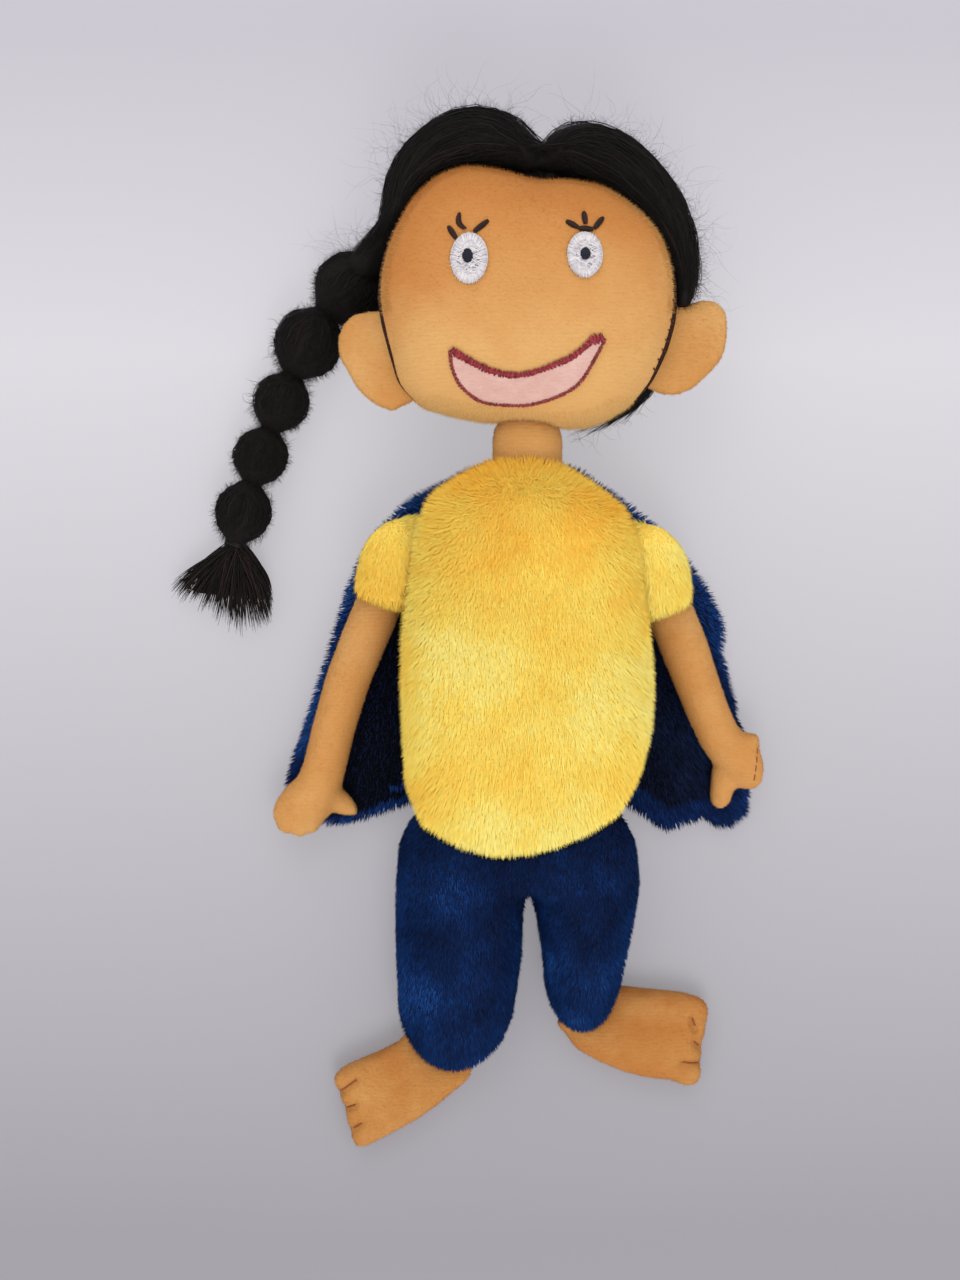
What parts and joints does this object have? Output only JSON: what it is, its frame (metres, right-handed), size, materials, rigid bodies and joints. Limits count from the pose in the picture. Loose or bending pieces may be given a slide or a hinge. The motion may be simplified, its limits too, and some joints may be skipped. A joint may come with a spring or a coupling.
{
  "type": "rag doll",
  "caption": "Handmade cloth rag doll lying on its back, with a stitched smiling face, mohair hair in a bubble braid, plush shirt, cape and trousers, and jointed soft limbs.",
  "frame": {"origin": "middle of the flat patch under the trousers' seat, on which the doll rests on its back", "axes": "+Y towards the top of the head, +Z out of the face, +X to the viewer's right"},
  "size_m": [0.2174, 0.3779, 0.0622],
  "materials": {
    "velour": "short nap",
    "brown_cloth": "woven",
    "yellow_plush": "long pile",
    "blue_plush": "pile",
    "lining": "woven",
    "mohair": "fibre",
    "tie": "wound thread",
    "eye_white": "satin stitch",
    "pupil": "satin stitch",
    "mouth_pink": "fleece",
    "lip_maroon": "satin stitch",
    "stuffing": "loose fibre"
  },
  "bodies": {
    "body": {"shirt_front": "yellow_plush", "shirt_back": "yellow_plush", "body_stuffing": "stuffing", "trouser_seat": "blue_plush", "trouser_seat_stuffing": "stuffing"},
    "cape": {"cape_outer": "blue_plush", "cape_lining": "lining"},
    "neck": {"neck": "velour", "neck_stuffing": "stuffing"},
    "head": {"face_panel": "velour", "head_back_panel": "brown_cloth", "head_stuffing": "stuffing", "eye_white_left": "eye_white", "eye_white_right": "eye_white", "pupil_left": "pupil", "pupil_right": "pupil", "mouth_patch": "mouth_pink", "lip_line": "lip_maroon", "hair_back": "mohair", "hair_roll_left": "mohair", "hair_roll_right": "mohair"},
    "ear_left": {"ear_front_left": "velour", "ear_back_left": "velour"},
    "ear_right": {"ear_front_right": "velour", "ear_back_right": "velour"},
    "braid_1": {"braid_lobe_1": "mohair", "braid_tie_1": "tie"},
    "braid_2": {"braid_lobe_2": "mohair", "braid_tie_2": "tie"},
    "braid_3": {"braid_lobe_3": "mohair", "braid_tie_3": "tie"},
    "braid_4": {"braid_lobe_4": "mohair", "braid_tie_4": "tie"},
    "braid_5": {"braid_lobe_5": "mohair", "braid_tie_5": "tie"},
    "tassel": {"braid_tassel": "mohair"},
    "arm_left": {"sleeve_left": "yellow_plush", "sleeve_left_stuffing": "stuffing", "arm_left": "velour", "arm_left_stuffing": "stuffing"},
    "arm_right": {"sleeve_right": "yellow_plush", "sleeve_right_stuffing": "stuffing", "arm_right": "velour", "arm_right_stuffing": "stuffing"},
    "leg_left": {"trouser_leg_left": "blue_plush", "trouser_leg_left_stuffing": "stuffing"},
    "leg_right": {"trouser_leg_right": "blue_plush", "trouser_leg_right_stuffing": "stuffing"},
    "foot_left": {"foot_left": "velour", "foot_left_stuffing": "stuffing"},
    "foot_right": {"foot_right": "velour", "foot_right_stuffing": "stuffing"}
  },
  "joints": [
    {"name": "cape_swing", "type": "hinge", "parent": "body", "child": "cape", "pos_m": [0.0031, 0.1461, 0], "axis": [1, 0, 0], "range_deg": [0, 90]},
    {"name": "neck_nod", "type": "hinge", "parent": "body", "child": "neck", "pos_m": [0.0031, 0.1464, 0.041], "axis": [1, 0, 0], "range_deg": [0, 45]},
    {"name": "head_tilt", "type": "hinge", "parent": "neck", "child": "head", "pos_m": [0.0031, 0.1542, 0.0318], "axis": [0, 0, 1], "range_deg": [-10, 10]},
    {"name": "ear_fold_left", "type": "hinge", "parent": "head", "child": "ear_left", "pos_m": [-0.04979, 0.18182, 0.0378], "axis": [0, 1, 0], "range_deg": [0, 60]},
    {"name": "ear_fold_right", "type": "hinge", "parent": "head", "child": "ear_right", "pos_m": [0.0568, 0.1857, 0.0378], "axis": [0, -1, 0], "range_deg": [0, 60]},
    {"name": "braid_swing_1", "type": "hinge", "parent": "head", "child": "braid_1", "pos_m": [-0.0506, 0.22043, 0.00749], "axis": [0, 0, -1], "range_deg": [0, 15]},
    {"name": "braid_swing_2", "type": "hinge", "parent": "braid_1", "child": "braid_2", "pos_m": [-0.07125, 0.20391, 0.00749], "axis": [0, 0, -1], "range_deg": [0, 15]},
    {"name": "braid_swing_3", "type": "hinge", "parent": "braid_2", "child": "braid_3", "pos_m": [-0.08305, 0.18066, 0.00749], "axis": [0, 0, -1], "range_deg": [0, 15]},
    {"name": "braid_swing_4", "type": "hinge", "parent": "braid_3", "child": "braid_4", "pos_m": [-0.09119, 0.16037, 0.00749], "axis": [0, 0, -1], "range_deg": [0, 15]},
    {"name": "braid_swing_5", "type": "hinge", "parent": "braid_4", "child": "braid_5", "pos_m": [-0.09815, 0.14078, 0.00749], "axis": [0, 0, -1], "range_deg": [0, 15]},
    {"name": "braid_swing_6", "type": "hinge", "parent": "braid_5", "child": "tassel", "pos_m": [-0.10405, 0.11895, 0.00749], "axis": [0, 0, -1], "range_deg": [0, 15]},
    {"name": "shoulder_left", "type": "hinge", "parent": "body", "child": "arm_left", "pos_m": [-0.0364, 0.12598, 0.0383], "axis": [0.1416, 0.9899, 0], "range_deg": [0, 90]},
    {"name": "shoulder_right", "type": "hinge", "parent": "body", "child": "arm_right", "pos_m": [0.04179, 0.12597, 0.0383], "axis": [0.1009, -0.9949, 0], "range_deg": [0, 90]},
    {"name": "hip_left", "type": "hinge", "parent": "body", "child": "leg_left", "pos_m": [-0.0209, -0.009, 0.0395], "axis": [-1, 0, 0], "range_deg": [0, 90]},
    {"name": "hip_right", "type": "hinge", "parent": "body", "child": "leg_right", "pos_m": [0.0246, -0.009, 0.0395], "axis": [-1, 0, 0], "range_deg": [0, 90]},
    {"name": "ankle_left", "type": "hinge", "parent": "leg_left", "child": "foot_left", "pos_m": [-0.02812, -0.06905, 0], "axis": [0.9207, -0.3903, 0], "range_deg": [0, 60]},
    {"name": "ankle_right", "type": "hinge", "parent": "leg_right", "child": "foot_right", "pos_m": [0.02746, -0.05375, 0], "axis": [0.8645, 0.5026, 0], "range_deg": [0, 60]}
  ]
}
